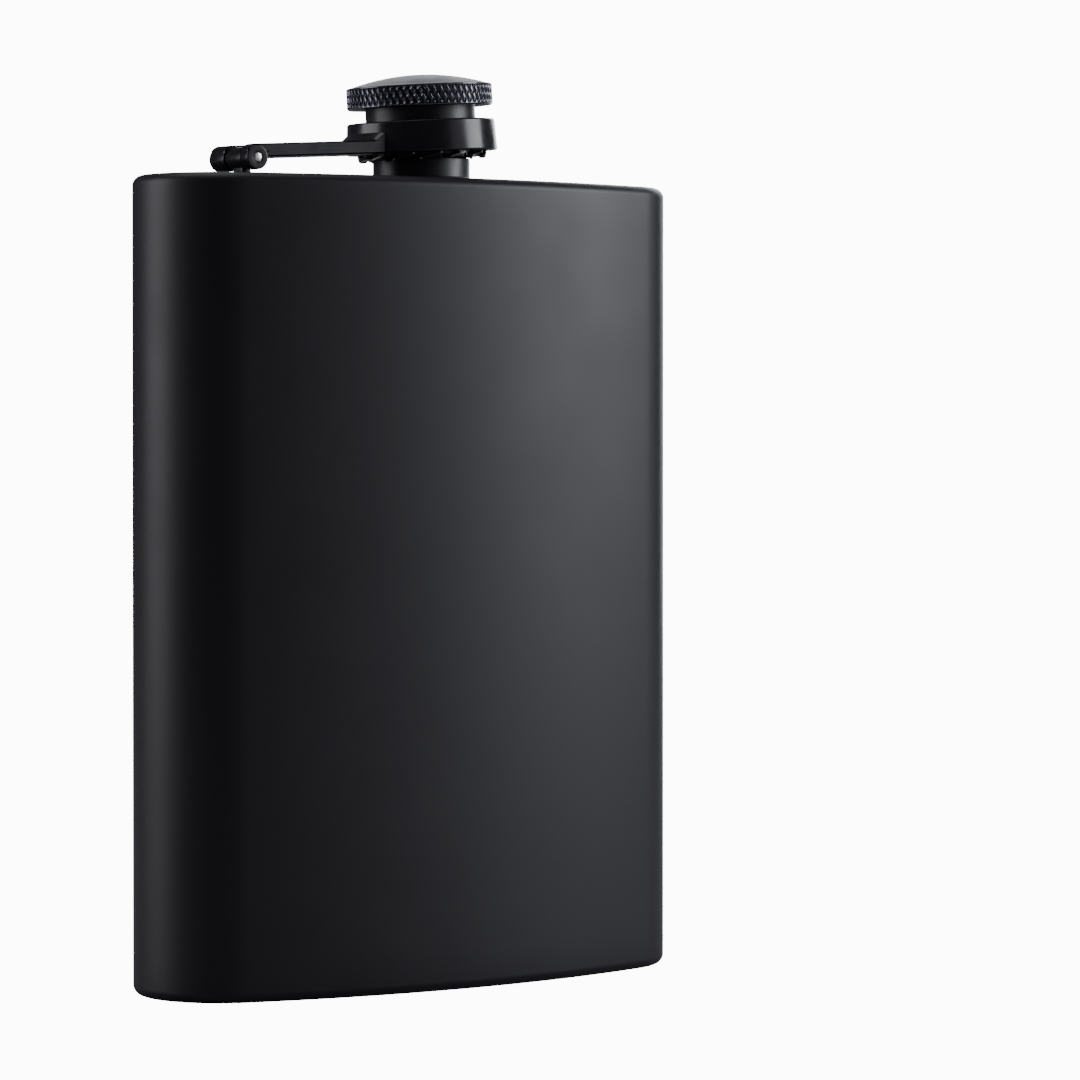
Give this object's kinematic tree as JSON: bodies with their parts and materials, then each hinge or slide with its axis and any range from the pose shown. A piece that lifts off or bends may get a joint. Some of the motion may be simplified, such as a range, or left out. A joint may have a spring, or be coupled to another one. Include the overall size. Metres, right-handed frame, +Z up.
{
  "type": "hip flask",
  "caption": "Curved pocket flask with a convex front, a hollow back, and a knurled captive screw cap on a hinged arm.",
  "frame": {"origin": "middle of the base's underside", "axes": "+Z up along the body; -Y towards the convex front; +X along the width, away from the cap arm's hinge"},
  "size_m": [0.094, 0.0302, 0.1405],
  "materials": {
    "matte_black_coat": "matte",
    "satin_black_coat": "satin",
    "bare_steel": "satin",
    "silicone": "matte"
  },
  "bodies": {
    "flask": {"body_wrap": "matte_black_coat", "top_plate": "matte_black_coat", "base_plate": "matte_black_coat", "threaded_neck": "satin_black_coat", "hinge_bracket": "satin_black_coat"},
    "arm": {"cap_arm": "satin_black_coat", "hinge_pin": "bare_steel"},
    "cap_carrier": {"retaining_washer": "satin_black_coat"},
    "cap": {"cap_shell": "satin_black_coat", "cap_insert": "satin_black_coat", "cap_gasket": "silicone"}
  },
  "joints": [
    {"name": "arm_swing", "type": "hinge", "parent": "flask", "child": "arm", "pos_m": [-0.0333, -0.00113, 0.12642], "axis": [0, -1, 0], "range_deg": [-3.3, 175]},
    {"name": "cap_lift", "type": "slide", "parent": "arm", "child": "cap_carrier", "axis": [-0.0576, 0, 0.9983], "range_m": [-0.00125, 0]},
    {"name": "cap_turn", "type": "hinge", "parent": "cap_carrier", "child": "cap", "pos_m": [0.00014, -0.00113, 0.12835], "axis": [-0.0576, 0, 0.9983], "range_deg": [-360, 0]}
  ],
  "couplings": [
    {"joint": "cap_lift", "follows": "cap_turn", "m_per_rad": 0.00019894}
  ]
}
